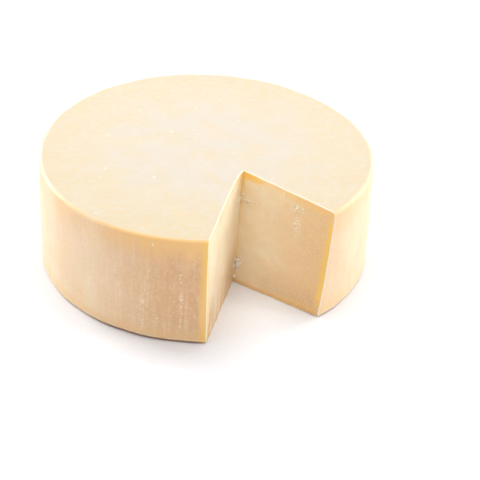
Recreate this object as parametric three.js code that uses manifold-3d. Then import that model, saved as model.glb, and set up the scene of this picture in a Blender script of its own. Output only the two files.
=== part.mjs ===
// A wheel of hard cheese of the parmesan kind, lying flat, with one wedge cut out of it.
// Millimetres, +Z up. The origin is under the wheel's axis, on the surface that it rests on.
// Azimuths turn from +X towards +Y. The notch opens to the front, -Y, and a little right.

import * as THREE from "three";
import { mergeVertices } from "three/addons/utils/BufferGeometryUtils.js";
import Module from "manifold-3d";

const { degToRad, lerp, seededRandom, smoothstep } = THREE.MathUtils;

// The wheel
const DIAMETER = 350;
const HEIGHT = 120;
const TOP_EDGE_RADIUS = 5;
const TOP_CROWN = 0.8;
const SIDE_BULGE = 0.9;
const SIDE_TAPER = 0.7;

// The base lies flat in the middle, and lifts a little towards the rim
const BASE_FLAT_RADIUS = 148;
const BASE_LIFT = 0.7;
const LIP_PROUD = 0.9;
const LIP_HEIGHT = 3;

// The wheel is not quite round: it has three low lobes, and its skin is a little uneven
const LOBES = 3;
const LOBE_HEIGHT = 1.3;
const LOBE_AZIMUTH = degToRad(-8);
const SKIN_UNEVEN = 0.3;
const SKIN_PITCH = 120;
const LIP_RAGGED = 0.5;
const LIP_PITCH = 31;

// The notch: where its faces meet, at the top and at the base, and where they reach the rim
const APEX_TOP = new THREE.Vector2(40.4, -42.7);
const APEX_BASE = new THREE.Vector2(34.3, -70.5);
const LEFT_RIM_AZIMUTH = degToRad(-86.15);
const RIGHT_RIM_AZIMUTH_TOP = degToRad(-40.9);
const RIGHT_RIM_AZIMUTH_BASE = degToRad(-45.7);

// The left face is hollowed near the top, where the knife wandered
const BOW = 2.7;
const BOW_LENGTH = 150;
const BOW_SKEW = 0.55;

// Marks of the knife on both faces. It went in cleanly, so none show at the top edge and the rim.
const CUT_UNEVEN = 0.35;
const CUT_PITCH = 37;
const CUT_CALM_NEAR_APEX = 8;
const CUT_CALM_UNDER_TOP = 16;
const CUT_CALM_AT_RIM = 14;
const FLUTE_DEPTH = 0.45;
const FLUTE_PITCH = 16;
const FLUTES_FROM = 84;

// The cutting body runs past the wheel above, below and outside
const CUTTER_REACH = 162;
const CUTTER_OVERRUN = 2;

// Facets
const ROUND_SEGMENTS = 96;
const EDGE_SEGMENTS = 4;
const SIDE_SEGMENTS = 6;
const CUT_HEIGHT_STEPS = 34;
const CUT_FINEST_STEP = 2.4;
const CUT_STEP_GROWTH = 1.12;
const CUT_COARSEST_STEP = 9;

// The two cut faces
const LEFT = 0;
const RIGHT = 1;

// Where the paste tore instead of cutting. along is the distance from the apex line, spread is
// half of the patch's size along the face and upwards, and size is that of its largest grains.
const TORN_PATCHES = [
  { face: RIGHT, along: 9, height: 91.5, spread: [11, 6.5], grains: 22, pits: 6, size: 1.6 },
  { face: LEFT, along: 11, height: 92, spread: [11, 7], grains: 12, pits: 4, size: 1.5 },
  { face: RIGHT, along: 3.5, height: 21, spread: [3.5, 8], grains: 14, pits: 4, size: 1.9 },
  { face: LEFT, along: 3, height: 20, spread: [3, 9], grains: 3, pits: 5, size: 1.5 },
  { face: RIGHT, along: 71, height: 87, spread: [4, 13], grains: 5, pits: 4, size: 1.3 },
  { face: RIGHT, along: 69, height: 106, spread: [10, 4], grains: 6, pits: 2, size: 1.1 },
];

// Single crumbs that cling to the faces
const CRUMBS = [
  { face: RIGHT, along: 25.7, height: 109.8, size: 1.3 },
  { face: RIGHT, along: 53.3, height: 114.5, size: 1.5 },
  { face: RIGHT, along: 26.8, height: 99.8, size: 1.1 },
  { face: RIGHT, along: 41.1, height: 84.1, size: 1.2 },
  { face: RIGHT, along: 1.2, height: 6.8, size: 2 },
  { face: LEFT, along: 96, height: 71, size: 1.2 },
];
const DRAW_SEED = 41;

const COLOUR = 0xeccf9b;
const ROUGHNESS = 0.55;

const RADIUS = DIAMETER / 2;
const GOLDEN_RATIO = (1 + Math.sqrt(5)) / 2;
const wasm = await Module();
wasm.setup();
seededRandom(DRAW_SEED);

function welded(geometry) {
  geometry.deleteAttribute("normal");
  geometry.deleteAttribute("uv");
  return mergeVertices(geometry, 1e-3);
}

// A closed geometry as a solid. Triangles that shrank to a line at the axis are dropped.
function toSolid(geometry) {
  const merged = welded(geometry);
  const corners = merged.index.array;
  const triangles = [];
  for (let i = 0; i < corners.length; i += 3) {
    const [a, b, c] = corners.subarray(i, i + 3);
    if (a !== b && b !== c && c !== a) triangles.push(a, b, c);
  }
  const mesh = new wasm.Mesh({
    numProp: 3,
    vertProperties: merged.attributes.position.array,
    triVerts: new Uint32Array(triangles),
  });
  return new wasm.Manifold(mesh);
}

function toGeometry(solid) {
  const { vertProperties, triVerts } = solid.getMesh();
  const geometry = new THREE.BufferGeometry();
  geometry.setAttribute("position", new THREE.BufferAttribute(vertProperties, 3));
  geometry.setIndex(new THREE.BufferAttribute(triVerts, 1));
  return geometry;
}

// Moves every vertex of a geometry to where place() puts it
function moveVertices(geometry, place) {
  const position = geometry.attributes.position;
  const point = new THREE.Vector3();
  for (let i = 0; i < position.count; i += 1) {
    point.fromBufferAttribute(position, i);
    place(point);
    position.setXYZ(i, point.x, point.y, point.z);
  }
}

// Smooth unevenness from -1 to 1: two crossing waves of about this pitch, which bend each other
function waver(pitch, x, y, z) {
  const [a, b, c] = [x, y, z].map((length) => (2 * Math.PI * length) / pitch);
  return Math.sin(a + 2 * Math.sin(0.9 * b + c)) * Math.cos(1.1 * b + 2 * Math.sin(0.8 * a - c));
}

// The side's radius at a height: fullest near the middle, and narrower at the top than at the base
function sideRadius(z) {
  const fromMiddle = (2 * z) / HEIGHT - 1;
  return RADIUS - SIDE_BULGE * fromMiddle ** 2 - SIDE_TAPER * fromMiddle;
}

// Half of the wheel's section, from the middle of the base round to the middle of the top
function wheelProfile() {
  const lipTop = BASE_LIFT + LIP_HEIGHT;
  const baseRadius = sideRadius(0);
  const profile = [
    [0, 0],
    [BASE_FLAT_RADIUS / 2, 0],
    [BASE_FLAT_RADIUS, 0],
    [lerp(BASE_FLAT_RADIUS, RADIUS, 0.6), BASE_LIFT * 0.45],
    [baseRadius - LIP_PROUD, BASE_LIFT],
    [baseRadius + LIP_PROUD, BASE_LIFT + LIP_HEIGHT * 0.3],
    [baseRadius + LIP_PROUD, BASE_LIFT + LIP_HEIGHT * 0.7],
    [sideRadius(lipTop), lipTop],
  ];
  const edgeStart = HEIGHT - TOP_CROWN - TOP_EDGE_RADIUS;
  for (let i = 1; i <= SIDE_SEGMENTS; i += 1) {
    const z = lerp(lipTop, edgeStart, i / SIDE_SEGMENTS);
    profile.push([sideRadius(z), z]);
  }
  const edgeCentre = sideRadius(edgeStart) - TOP_EDGE_RADIUS;
  for (let i = 1; i <= EDGE_SEGMENTS; i += 1) {
    const turn = ((Math.PI / 2) * i) / EDGE_SEGMENTS;
    const r = edgeCentre + TOP_EDGE_RADIUS * Math.cos(turn);
    profile.push([r, edgeStart + TOP_EDGE_RADIUS * Math.sin(turn)]);
  }
  for (const share of [0.8, 0.4, 0]) {
    profile.push([edgeCentre * share, HEIGHT - TOP_CROWN * share ** 2]);
  }
  return profile.map(([r, z]) => new THREE.Vector2(r, z));
}

function makeWheel() {
  const geometry = new THREE.LatheGeometry(wheelProfile(), ROUND_SEGMENTS);
  geometry.rotateX(Math.PI / 2);
  return toSolid(geometry);
}

// How far a cut face is worn into the cheese at a place, by the knife's wandering and its marks.
// r is the distance from the wheel's axis.
function cutDepth(face, along, z, r) {
  const underTop = smoothstep(HEIGHT - z, 0, CUT_CALM_UNDER_TOP);
  const marked = underTop * smoothstep(Math.abs(RADIUS - r), 0, CUT_CALM_AT_RIM);
  const calm = marked * smoothstep(along, 0, CUT_CALM_NEAR_APEX);
  let depth = CUT_UNEVEN * calm * waver(CUT_PITCH, along, z, CUT_PITCH * face);
  if (face === LEFT) {
    const share = Math.min(along / BOW_LENGTH, 1) ** BOW_SKEW;
    const fluted = marked * smoothstep(along, FLUTES_FROM, FLUTES_FROM + FLUTE_PITCH);
    depth += BOW * (z / HEIGHT) * Math.sin(Math.PI * share);
    depth += FLUTE_DEPTH * fluted * Math.sin((2 * Math.PI * along) / FLUTE_PITCH);
  }
  return depth;
}

// A place on a cut face, from its distance from the apex line and its height
function notchPoint(face, along, z) {
  const share = z / HEIGHT;
  const rightAzimuth = lerp(RIGHT_RIM_AZIMUTH_BASE, RIGHT_RIM_AZIMUTH_TOP, share);
  const azimuth = face === LEFT ? LEFT_RIM_AZIMUTH : rightAzimuth;
  const apex = APEX_BASE.clone().lerp(APEX_TOP, share);
  const rim = new THREE.Vector2(RADIUS * Math.cos(azimuth), RADIUS * Math.sin(azimuth));
  const outward = rim.sub(apex).normalize();
  const intoCheese = outward.clone().rotateAround(new THREE.Vector2(), Math.PI * (face - 0.5));
  const flat = apex.addScaledVector(outward, along);
  flat.addScaledVector(intoCheese, cutDepth(face, along, z, flat.length()));
  return new THREE.Vector3(flat.x, flat.y, z);
}

// Distances from the apex line at which the cut faces are divided: close at the apex, then wider
function cutDivisions() {
  const divisions = [];
  let step = CUT_FINEST_STEP;
  for (let along = step; along < CUTTER_REACH; along += step) {
    divisions.push(along);
    step = Math.min(step * CUT_STEP_GROWTH, CUT_COARSEST_STEP);
  }
  divisions.push(CUTTER_REACH);
  return divisions;
}

// The body that the notch takes away. It is extruded as a plain wedge whose left face is the
// X axis and whose right face is one radian round, and each of its points then goes to its place.
function makeNotchCutter() {
  const outward = cutDivisions();
  const outline = [new THREE.Vector2(0, 0)];
  for (const along of outward) outline.push(new THREE.Vector2(along, 0));
  for (const along of outward.reverse()) {
    outline.push(new THREE.Vector2(along * Math.cos(RIGHT), along * Math.sin(RIGHT)));
  }
  const geometry = new THREE.ExtrudeGeometry(new THREE.Shape(outline), {
    depth: HEIGHT + 2 * CUTTER_OVERRUN,
    steps: CUT_HEIGHT_STEPS,
    bevelEnabled: false,
  });
  const wedge = welded(geometry);
  moveVertices(wedge, (point) => {
    const along = Math.hypot(point.x, point.y);
    const face = Math.atan2(point.y, point.x) > RIGHT / 2 ? RIGHT : LEFT;
    point.copy(notchPoint(face, along, point.z - CUTTER_OVERRUN));
  });
  return toSolid(wedge);
}

// One grain of the torn paste: a lump with flat facets, no two alike
function makeGrain(centre, size) {
  const grain = welded(new THREE.IcosahedronGeometry(size, 0));
  moveVertices(grain, (point) => point.multiplyScalar(lerp(0.6, 1.15, seededRandom())));
  grain.rotateX(2 * Math.PI * seededRandom());
  grain.rotateZ(2 * Math.PI * seededRandom());
  grain.translate(centre.x, centre.y, centre.z);
  return toSolid(grain);
}

// Grains strewn over a torn patch as seeds are in a sunflower, but thickest at its middle
function strewGrains(patch, count, firstTurn) {
  const grains = [];
  for (let i = 0; i < count; i += 1) {
    const reach = (i + 0.5) / count;
    const turn = firstTurn + (2 * Math.PI * i) / GOLDEN_RATIO;
    const along = Math.max(patch.along + patch.spread[0] * reach * Math.cos(turn), 0);
    const height = patch.height + patch.spread[1] * reach * Math.sin(turn);
    const size = patch.size * lerp(1, 0.5, (i * GOLDEN_RATIO) % 1);
    grains.push(makeGrain(notchPoint(patch.face, along, height), size));
  }
  return grains;
}

// Pits are dug first, so that the grains stand in and beside them. A scrap that a pit has cut
// free, or a hollow that a grain has shut, is a body of its own and isn't kept.
function tearFaces(cheese) {
  let torn = cheese;
  for (const patch of TORN_PATCHES) {
    for (const pit of strewGrains(patch, patch.pits, Math.PI)) torn = torn.subtract(pit);
    for (const grain of strewGrains(patch, patch.grains, 0)) torn = torn.add(grain);
  }
  for (const { face, along, height, size } of CRUMBS) {
    torn = torn.add(makeGrain(notchPoint(face, along, height), size));
  }
  const bodies = torn.decompose();
  return bodies.sort((a, b) => b.volume() - a.volume())[0];
}

// The lobes, the uneven skin and the ragged lip. The flat of the base stays flat.
function roughen(point) {
  const r = Math.hypot(point.x, point.y);
  const azimuth = Math.atan2(point.y, point.x);
  const skin = SKIN_UNEVEN * waver(SKIN_PITCH, point.x, point.y, point.z);
  const lobes = LOBE_HEIGHT * Math.cos(LOBES * (azimuth - LOBE_AZIMUTH));
  const onLip = r > RADIUS && point.z < BASE_LIFT + LIP_HEIGHT;
  const ragged = onLip ? LIP_RAGGED * waver(LIP_PITCH, RADIUS * azimuth, 0, 0) : 0;
  const grown = 1 + (lobes + skin) / RADIUS + ragged / Math.max(r, 1);
  point.x *= grown;
  point.y *= grown;
  point.z += skin * smoothstep(point.z, HEIGHT / 2, HEIGHT);
}

function makeCheese() {
  const cut = makeWheel().subtract(makeNotchCutter());
  const geometry = toGeometry(tearFaces(cut));
  moveVertices(geometry, roughen);
  geometry.computeVertexNormals();
  return geometry;
}

const cheese = new THREE.Mesh(
  makeCheese(),
  new THREE.MeshStandardMaterial({ color: COLOUR, roughness: ROUGHNESS, metalness: 0 }),
);
cheese.name = "cheese_wheel";

const group = new THREE.Group();
group.add(cheese);

export default group;
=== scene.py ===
import math
import random

import bmesh
import bpy
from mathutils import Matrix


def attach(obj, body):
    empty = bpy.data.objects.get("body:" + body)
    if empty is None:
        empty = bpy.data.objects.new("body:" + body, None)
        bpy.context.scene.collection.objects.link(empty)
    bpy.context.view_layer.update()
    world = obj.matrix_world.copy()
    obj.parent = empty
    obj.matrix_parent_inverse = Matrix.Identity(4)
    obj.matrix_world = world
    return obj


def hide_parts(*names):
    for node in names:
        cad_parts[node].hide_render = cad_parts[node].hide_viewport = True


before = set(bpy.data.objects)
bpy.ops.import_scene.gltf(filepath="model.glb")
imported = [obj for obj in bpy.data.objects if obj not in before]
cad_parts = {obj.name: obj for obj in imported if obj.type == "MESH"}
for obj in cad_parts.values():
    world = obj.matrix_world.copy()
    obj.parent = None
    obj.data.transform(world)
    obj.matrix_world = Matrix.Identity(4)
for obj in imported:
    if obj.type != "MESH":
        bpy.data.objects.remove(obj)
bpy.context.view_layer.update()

from bl_math import clamp, lerp
from bpy.props import FloatProperty, FloatVectorProperty, IntProperty, PointerProperty
from mathutils import Matrix, Vector, noise

bl_info = {
    "name": "Cut cheese wheel",
    "version": (1, 0, 0),
    "blender": (4, 5, 0),
    "location": "View3D > Sidebar > Cheese",
    "description": "A wheel of hard cheese with a notch cut into it, and a pale studio",
    "category": "Object",
}

NODE = "cheese_wheel"
MM = 0.001

# The wheel's own form, as its solid has it. Lengths are in metres, and tables say their units.
TOP_CROWN = 0.8 * MM
SIDE_BULGE = 0.9 * MM
SIDE_TAPER = 0.7 * MM
BASE_FLAT_RADIUS = 148 * MM
BASE_LIFT = 0.7 * MM
LIP_PROUD = 0.9 * MM
LIP_HEIGHT = 3 * MM
LOBES = 3
LOBE_HEIGHT = 1.3 * MM
LOBE_AZIMUTH = math.radians(-8)
SKIN_PITCH = 120 * MM
LIP_RAGGED = 0.5 * MM
LIP_PITCH = 31 * MM

# The notch: where its faces meet, at the top and at the base, and where they reach the rim
APEX_TOP = Vector((40.4, -42.7)) * MM
APEX_BASE = Vector((34.3, -70.5)) * MM
LEFT_RIM_AZIMUTH = math.radians(-86.15)
RIGHT_RIM_AZIMUTH_TOP = math.radians(-40.9)
RIGHT_RIM_AZIMUTH_BASE = math.radians(-45.7)

# The left face's hollow and flutes, and the wandering of the knife on both faces
BOW = 2.7 * MM
BOW_LENGTH = 150 * MM
BOW_SKEW = 0.55
CUT_UNEVEN = 0.35 * MM
CUT_PITCH = 37 * MM
CUT_CALM_NEAR_APEX = 8 * MM
CUT_CALM_UNDER_TOP = 16 * MM
CUT_CALM_AT_RIM = 14 * MM
FLUTE_DEPTH = 0.45 * MM
FLUTE_PITCH = 16 * MM
FLUTES_FROM = 84 * MM
CUT_FADE = 12 * MM

LEFT = 0
RIGHT = 1
GOLDEN_RATIO = (1 + math.sqrt(5)) / 2
FULL_TURN = 2 * math.pi

# Where the paste tore: face, distance from the apex line, height, half size along the face and
# upwards, numbers of grains and pits, and the largest grain's radius. Lengths in millimetres.
TORN_PATCHES = (
    (RIGHT, 9, 91.5, (11, 6.5), 22, 6, 1.6),
    (LEFT, 11, 92, (11, 7), 12, 4, 1.5),
    (RIGHT, 3.5, 21, (3.5, 8), 14, 4, 1.9),
    (LEFT, 3, 20, (3, 9), 3, 5, 1.5),
    (RIGHT, 71, 87, (4, 13), 5, 4, 1.3),
    (RIGHT, 69, 106, (10, 4), 6, 2, 1.1),
)
TORN_MARGIN = 3
# The torn grain's depth and size, and a pit's depth as a share of its half width
TORN_DEPTH = 0.12 * MM
TORN_GRAIN = 2.2 * MM
PIT_SHARE = 0.5

# Single crumbs on the faces: face, distance from the apex line, height, radius. Millimetres.
CLINGING_CRUMBS = (
    (RIGHT, 25.7, 109.8, 1.3),
    (RIGHT, 53.3, 114.5, 1.5),
    (RIGHT, 26.8, 99.8, 1.1),
    (RIGHT, 41.1, 84.1, 1.2),
    (RIGHT, 1.2, 6.8, 2),
    (LEFT, 96, 71, 0.8),
)

# The paste has dried to gold under the rind: how deep, how that depth swells along the face, and
# spans over the base, under the top and out from the apex line. Round that line the gold is
# painted shade of the crease between the faces: its span, and the heights where it changes
DRIED_FULL = 4.5 * MM
DRIED_END = 9.5 * MM
DRIED_OVER_BASE = (10 * MM, 26 * MM)
DRIED_UNDER_TOP = (98 * MM, 110 * MM)
DRIED_OUTWARD = (12 * MM, 36 * MM)
CREASE_SHADE = (0.6 * MM, 5 * MM)
CREASE_SHADE_UP = (88 * MM, 110 * MM)
DRIED_SWELL = 1.6 * MM
DRIED_UNEVEN = 0.5 * MM
DRIED_PITCH = 84 * MM
DRIED_THIN_AT = 38 * MM
# Its shares: at the base, lost under the top, on the left face, where it is weaker as painted
# light that washes it out, and low and high in the painted crease shade along the apex line
DRIED_AT_BASE = 0.3
DRIED_LOST_AT_TOP = 0.6
DRIED_LEFT_WASHED_BY_LIGHT = 0.5
CREASE_SHADE_LOW_HIGH = (0.4, 0.9)

# White flecks of bloom. Runs down the side: azimuth in degrees, lowest and highest place, half
# width, number and radius. Single flecks: azimuth and height, or x and y on the top, and radius.
# Lengths down to TOP_FLECK_RADIUS are in millimetres.
FLECK_RUNS = (
    (-94.6, 12, 93, 1.0, 26, 0.95),
    (-107.4, 8, 46, 2.8, 18, 0.85),
    (-105.5, 46, 82, 2.5, 8, 0.8),
    (-115.5, 28, 84, 5.0, 10, 0.8),
)
SIDE_FLECKS = ((-94.6, 51.2, 2.1), (-106.8, 44.1, 1.7), (-103.7, 111, 1.7), (-102.1, 26.4, 1.6))
TOP_FLECKS = (
    (-76, 74.8, 1.7),
    (-37.7, 29.3, 1.9),
    (-59, 107, 1.5),
    (-11.5, 16.8, 1.4),
    (-15.4, 85.5, 1.3),
    (11.1, 109.4, 1.4),
    (-99.2, -50.7, 1.4),
    (-48.8, -63.5, 2.0),
)
# How far the chalky haze reaches beyond a run, aside and upward
CHALK_WIDE = 3.5
CHALK_TALL = 12
# Runs on the rest of the side: ranges of azimuth, lowest place, length and half width, and their
# number and radius of flecks
OTHER_AZIMUTHS = (-36, 228)
OTHER_LOW = (8, 50)
OTHER_LENGTH = (20, 60)
OTHER_SPREAD = (0.8, 4)
OTHER_FLECKS = (14, 0.85)
# Flecks on the top: how far out they lie, as a share of the diameter, how far from the notch, and
# their radii. A fleck's middle is sunk by a share of its half height.
FLECKS_REACH = 0.47
FLECKS_FROM_NOTCH = 3
TOP_FLECK_RADIUS = (0.3, 0.95)
FLECK_SUNK = 0.4

# The side is painted darker on the front beside the cut's left side, as painted shade of the side
# that faces away from the back lights, and a dark brown line along its foot there is painted shade
# under the lip: azimuths where each has faded and to which it is full. Elsewhere both show only in
# places, the darker side there as spots of the rind's own tone.
SHADED_FRONT = (math.radians(-128), math.radians(-94))
# where the painted shade under the lip, a dark brown line along the foot, fades and is full
SHADED_FOOT = (math.radians(-132), math.radians(-115))
SPOTTY_SHARE = 0.2
SPOTTY_PITCH = 190 * MM

# Divisions of the wheel's surface, with the top edge's as distances in millimetres
EDGE_INSETS = (5, 4, 3.1, 2.3, 1.5, 0.8, 0.4, 0)
LIP_SHARES = (0, 0.2, 0.45, 0.7)
FILLET_LINES = (0, 0.5, 1)
TOP_FAN_LINES = 7
BASE_FAN_SHARE = 0.7
TORN_CUTS = 2
# Corners this close are merged, edges this short are dissolved, and less than TINY is nothing
MERGE_WITHIN = 0.002 * MM
SLIVER = 0.001 * MM
TINY = 1e-6
# A face is the side's where its normal's vertical part is under this, and the side's map starts
# this angle before the left rim
UPRIGHT_UNDER = 0.7
SEAM_MARGIN = 0.01

# What the corners of the mesh store for the rind and for the paste, and the paste's slot
RIND_STORED = ("cut_inset", "left_side", "turned_up", "ripened", "stained", "chalked")
PASTE_STORED = ("rind_depth", "torn", "pitted", "dried")
PASTE = 1

# How deep light goes in, how long the rind's drips are and how the knife's marks lean
LIGHT_DEPTH = 5 * MM
DRIP_LENGTH = 16 * MM
KNIFE_LEAN = math.radians(35)

# Fineness of the crumbs' and flecks' balls, of 80 and 20 faces, the depth of their dents and how
# many there are to a radius, a crumb's tilt, and how close crumbs and flecks gather
CRUMB_FACES = 2
FLECK_FACES = 1
DENT_DEPTH = 0.45
DENTS = 1.3
CRUMB_TILT = 0.6
GATHERED = 0.6
# How much the sizes and half lengths of crumbs and flecks vary
CRUMB_SIDES = (0.4, 1.3)
FINE_SIZES = (0.5, 1.4)
FLECK_SIZES = (0.6, 1.3)
FLECK_WIDTHS = (0.5, 0.9)
FLECK_LENGTHS = (0.9, 1.5)

# The studio: the place that all lights face, their own places and widths, and the camera's place
LIT_PLACE = Vector((0, 0, 0.06))
LIGHTS = {
    "back_left": ((-1.6, 1.1, 0.9), 1.2),
    "back_right": ((1.6, 1.1, 0.9), 1.2),
    "right": ((1.9, -0.33, 0.9), 0.5),
    "above": ((0, 0.2, 2.4), 2),
}
CAMERA_PLACE = Vector((39.64, -1083.76, 743.59)) * MM

# Numbers of a Mix node's colour sockets, whose names are also those of its other sockets
MIX_SHARE = 0
MIX_FIRST = 6
MIX_SECOND = 7
MIX_RESULT = 2


def linear(hexcode):
    """A colour written as sRGB hex, as linear red, green and blue."""
    shares = [int(hexcode[i : i + 2], 16) / 255 for i in (0, 2, 4)]
    return tuple(c / 12.92 if c <= 0.04045 else ((c + 0.055) / 1.055) ** 2.4 for c in shares)


def smooth_share(value, low, high):
    share = clamp((value - low) / (high - low))
    return share * share * (3 - 2 * share)


def waver(pitch, x, y, z):
    """Smooth unevenness from -1 to 1: two crossing waves that bend each other."""
    a, b, c = (FULL_TURN * length / pitch for length in (x, y, z))
    return math.sin(a + 2 * math.sin(0.9 * b + c)) * math.cos(1.1 * b + 2 * math.sin(0.8 * a - c))


def length_setting(name, description, length):
    return FloatProperty(name=name, description=description, default=length, unit="LENGTH")


def power_setting(name, description, power):
    return FloatProperty(name=name, description=description, default=power, unit="POWER", min=0)


def angle_setting(name, description, degrees):
    return FloatProperty(
        name=name, description=description, default=math.radians(degrees), subtype="ANGLE"
    )


def count_setting(name, description, count, least=0):
    return IntProperty(name=name, description=description, default=count, min=least)


def colour_setting(name, description, hexcode):
    return FloatVectorProperty(
        name=name, description=description, default=linear(hexcode), subtype="COLOR", min=0, max=1
    )


class WheelSettings(bpy.types.PropertyGroup):
    diameter: length_setting("Diameter", "Across the wheel", 350 * MM)
    height: length_setting("Height", "From base to top", 120 * MM)
    top_edge: length_setting("Top edge", "Radius of the top edge", 5 * MM)
    cut_edge: length_setting("Cut edge", "Softness of the cut's edges", 0.8 * MM)
    skin_uneven: length_setting("Skin", "Unevenness of the skin", 0.3 * MM)
    inset: length_setting(
        "Inset", "How far the fine surface stays inside the faceted solid", 0.16 * MM
    )
    round_parts: count_setting("Round", "Divisions round the wheel", 280, least=24)
    out_parts: count_setting("Outward", "Divisions of a cut face, outward", 84, least=8)
    up_parts: count_setting("Upward", "Divisions of a cut face, upward", 76, least=8)


class CrumbSettings(bpy.types.PropertyGroup):
    seed: count_setting("Seed", "Draw of the crumbs' and flecks' forms", 7)
    fine_count: count_setting("Fine crumbs", "Fine crumbs in each torn patch", 14)
    fine_size: length_setting("Fine size", "Radius of a fine crumb", 0.55 * MM)
    top_flecks: count_setting("Top flecks", "Small flecks of bloom on the top", 110)
    side_runs: count_setting("Side runs", "Runs of flecks on the rest of the side", 13)
    fleck_height: length_setting("Fleck height", "Half of a fleck's thickness", 0.12 * MM)


class ColourSettings(bpy.types.PropertyGroup):
    # The top's pale grey tone is partly the rind's own and partly painted sheen of the strong light
    # from above and behind
    top: colour_setting("Top", "Rind of the top", "CDC3B4")
    # top_warm: warmer patches of the top's own tone, and the painted fall-off of its sheen towards
    # the rim and the front
    top_warm: colour_setting("Top, warm", "Warmer patches of the top", "D1BF9C")
    top_pale: colour_setting("Top, pale", "Paler patches of the top", "CFC8BE")
    side: colour_setting("Side", "Rind of the side", "FFE3C2")
    side_warm: colour_setting("Side, warm", "Golden patches of the side", "FBD8A3")
    side_pale: colour_setting("Side, pale", "Haze of bloom on the side", "FFE9C5")
    side_deep: colour_setting("Side, deep", "Deep streaks of the side", "DEBA8B")
    # darker side: painted shade on the front beside the cut's left side, elsewhere spots of the
    # rind's own tone
    side_ripe: colour_setting("Side, ripe", "Rind of the side where it darkened", "DBA775")
    # the side's foot painted lighter, as light bounced up from the floor
    side_low: colour_setting("Side, low", "Rind of the side's foot", "FFE3C0")
    # edge_band: the rind's own golden tone beside the edges, and under the top edge partly painted
    # glow of light coming through the rounded edge
    edge_band: colour_setting("Edge band", "Rind beside the edges", "F9CA88")
    # a dark brown line along the foot: painted shade under the lip
    stain: colour_setting("Stain", "The brown stain of the foot", "A86A3E")
    # chalk: bloom, dry crumbs, torn paste and nicks, and the painted highlights along the cut's
    # edges
    chalk: colour_setting("Chalk", "Bloom, dry crumbs and torn paste", "FBF3E4")
    chalk_warm: colour_setting("Chalk, warm", "Tinted crumbs and bloom", "FAE6C6")
    paste: colour_setting("Paste", "The cut faces", "F8E1BB")
    # paste_warm: warmer clouds of the paste's own tone, and painted shade towards the right face's
    # rim
    paste_warm: colour_setting("Paste, warm", "Warmer clouds of the cut faces", "EEC48D")
    # paste_deep: painted shade, darker paste towards the base, low on the left face and in its
    # furrows
    paste_deep: colour_setting("Paste, deep", "The cut faces towards the base", "CCA066")
    # paste_pale: the paste's own pale grain and knife drags, and painted light near the apex line,
    # over the left face and on its ridges
    paste_pale: colour_setting("Paste, pale", "Pale grain of the cut faces", "FFEFD4")
    # the brown at the bottoms of pits is painted shade
    pit: colour_setting("Pits", "The bottoms of pits", "D2A063")
    # rind_band: the cut rind's own gold on the paste, and on the side beside the left cut a painted
    # glow of light coming through the cut edge
    rind_band: colour_setting("Rind band", "The cut rind", "FFD073")
    rind_base: colour_setting("Rind at the base", "The cut rind of the base", "E2AE6C")
    floor: colour_setting("Floor", "The floor", "EBEBEE")
    floor_fibre: colour_setting("Floor fibre", "Fibres of the floor", "E8E8EB")


class StageSettings(bpy.types.PropertyGroup):
    floor_size: length_setting("Floor", "Half of the floor's side", 6)
    room: FloatProperty(name="Room", description="Strength of the room light", default=0.59, min=0)
    back_left: power_setting("Back left", "The light behind on the left", 33.5)
    back_right: power_setting("Back right", "The light behind on the right", 21.5)
    right: power_setting("Right", "The light on the right", 8)
    above: power_setting("Above", "The light over the wheel", 32.2)
    elevation: angle_setting("Elevation", "How steeply the camera looks down", 34.26)
    roll: angle_setting("Roll", "How far the camera is turned about its line of sight", 2.7)


# The smooth form of the wheel


def side_radius(wheel, z):
    """Fullest near the middle, and narrower at the top than at the base."""
    from_middle = 2 * z / wheel.height - 1
    return wheel.diameter / 2 - SIDE_BULGE * from_middle**2 - SIDE_TAPER * from_middle


def edge_start(wheel):
    """The height at which the side begins to round over into the top."""
    return wheel.height - TOP_CROWN - wheel.top_edge


def edge_centre(wheel):
    return side_radius(wheel, edge_start(wheel)) - wheel.top_edge


def rim_radius(wheel, z):
    """The side's radius with the lip, before the top edge is rounded."""
    lip = (z - BASE_LIFT) / LIP_HEIGHT
    if lip < 1:
        return side_radius(wheel, 0) + LIP_PROUD * (math.sin(math.pi * lip) - (1 - lip) ** 2)
    return side_radius(wheel, min(z, edge_start(wheel)))


def base_height(wheel, r):
    share = (r - BASE_FLAT_RADIUS) / (wheel.diameter / 2 - LIP_PROUD - BASE_FLAT_RADIUS)
    return BASE_LIFT * clamp(share) ** 1.5


def top_height(wheel, r):
    return wheel.height - TOP_CROWN * min(r / edge_centre(wheel), 1) ** 2


def polar(radius, azimuth):
    return Vector((radius * math.cos(azimuth), radius * math.sin(azimuth)))


def cut_line(wheel, face, z):
    """Where a cut face starts at a height, and its headings outward and into the cheese."""
    share = z / wheel.height
    azimuth = LEFT_RIM_AZIMUTH
    if face == RIGHT:
        azimuth = lerp(RIGHT_RIM_AZIMUTH_BASE, RIGHT_RIM_AZIMUTH_TOP, share)
    apex = APEX_BASE.lerp(APEX_TOP, share)
    outward = (polar(wheel.diameter / 2, azimuth) - apex).normalized()
    turn = 1 if face == RIGHT else -1
    return apex, outward, Vector((-turn * outward.y, turn * outward.x))


def on_face(wheel, face, place):
    """Distances of a place from a face's apex line, outward, and from the face, into the cheese."""
    apex, outward, into = cut_line(wheel, face, place.z)
    flat = place.xy - apex
    return flat.dot(outward), flat.dot(into)


def nearer_face(wheel, place):
    return min((LEFT, RIGHT), key=lambda face: abs(on_face(wheel, face, place)[1]))


def reach(start, heading, r):
    """How far along a heading the distance from the wheel's axis is r."""
    along = start.dot(heading)
    return math.sqrt(along**2 - start.dot(start) + r**2) - along


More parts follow.
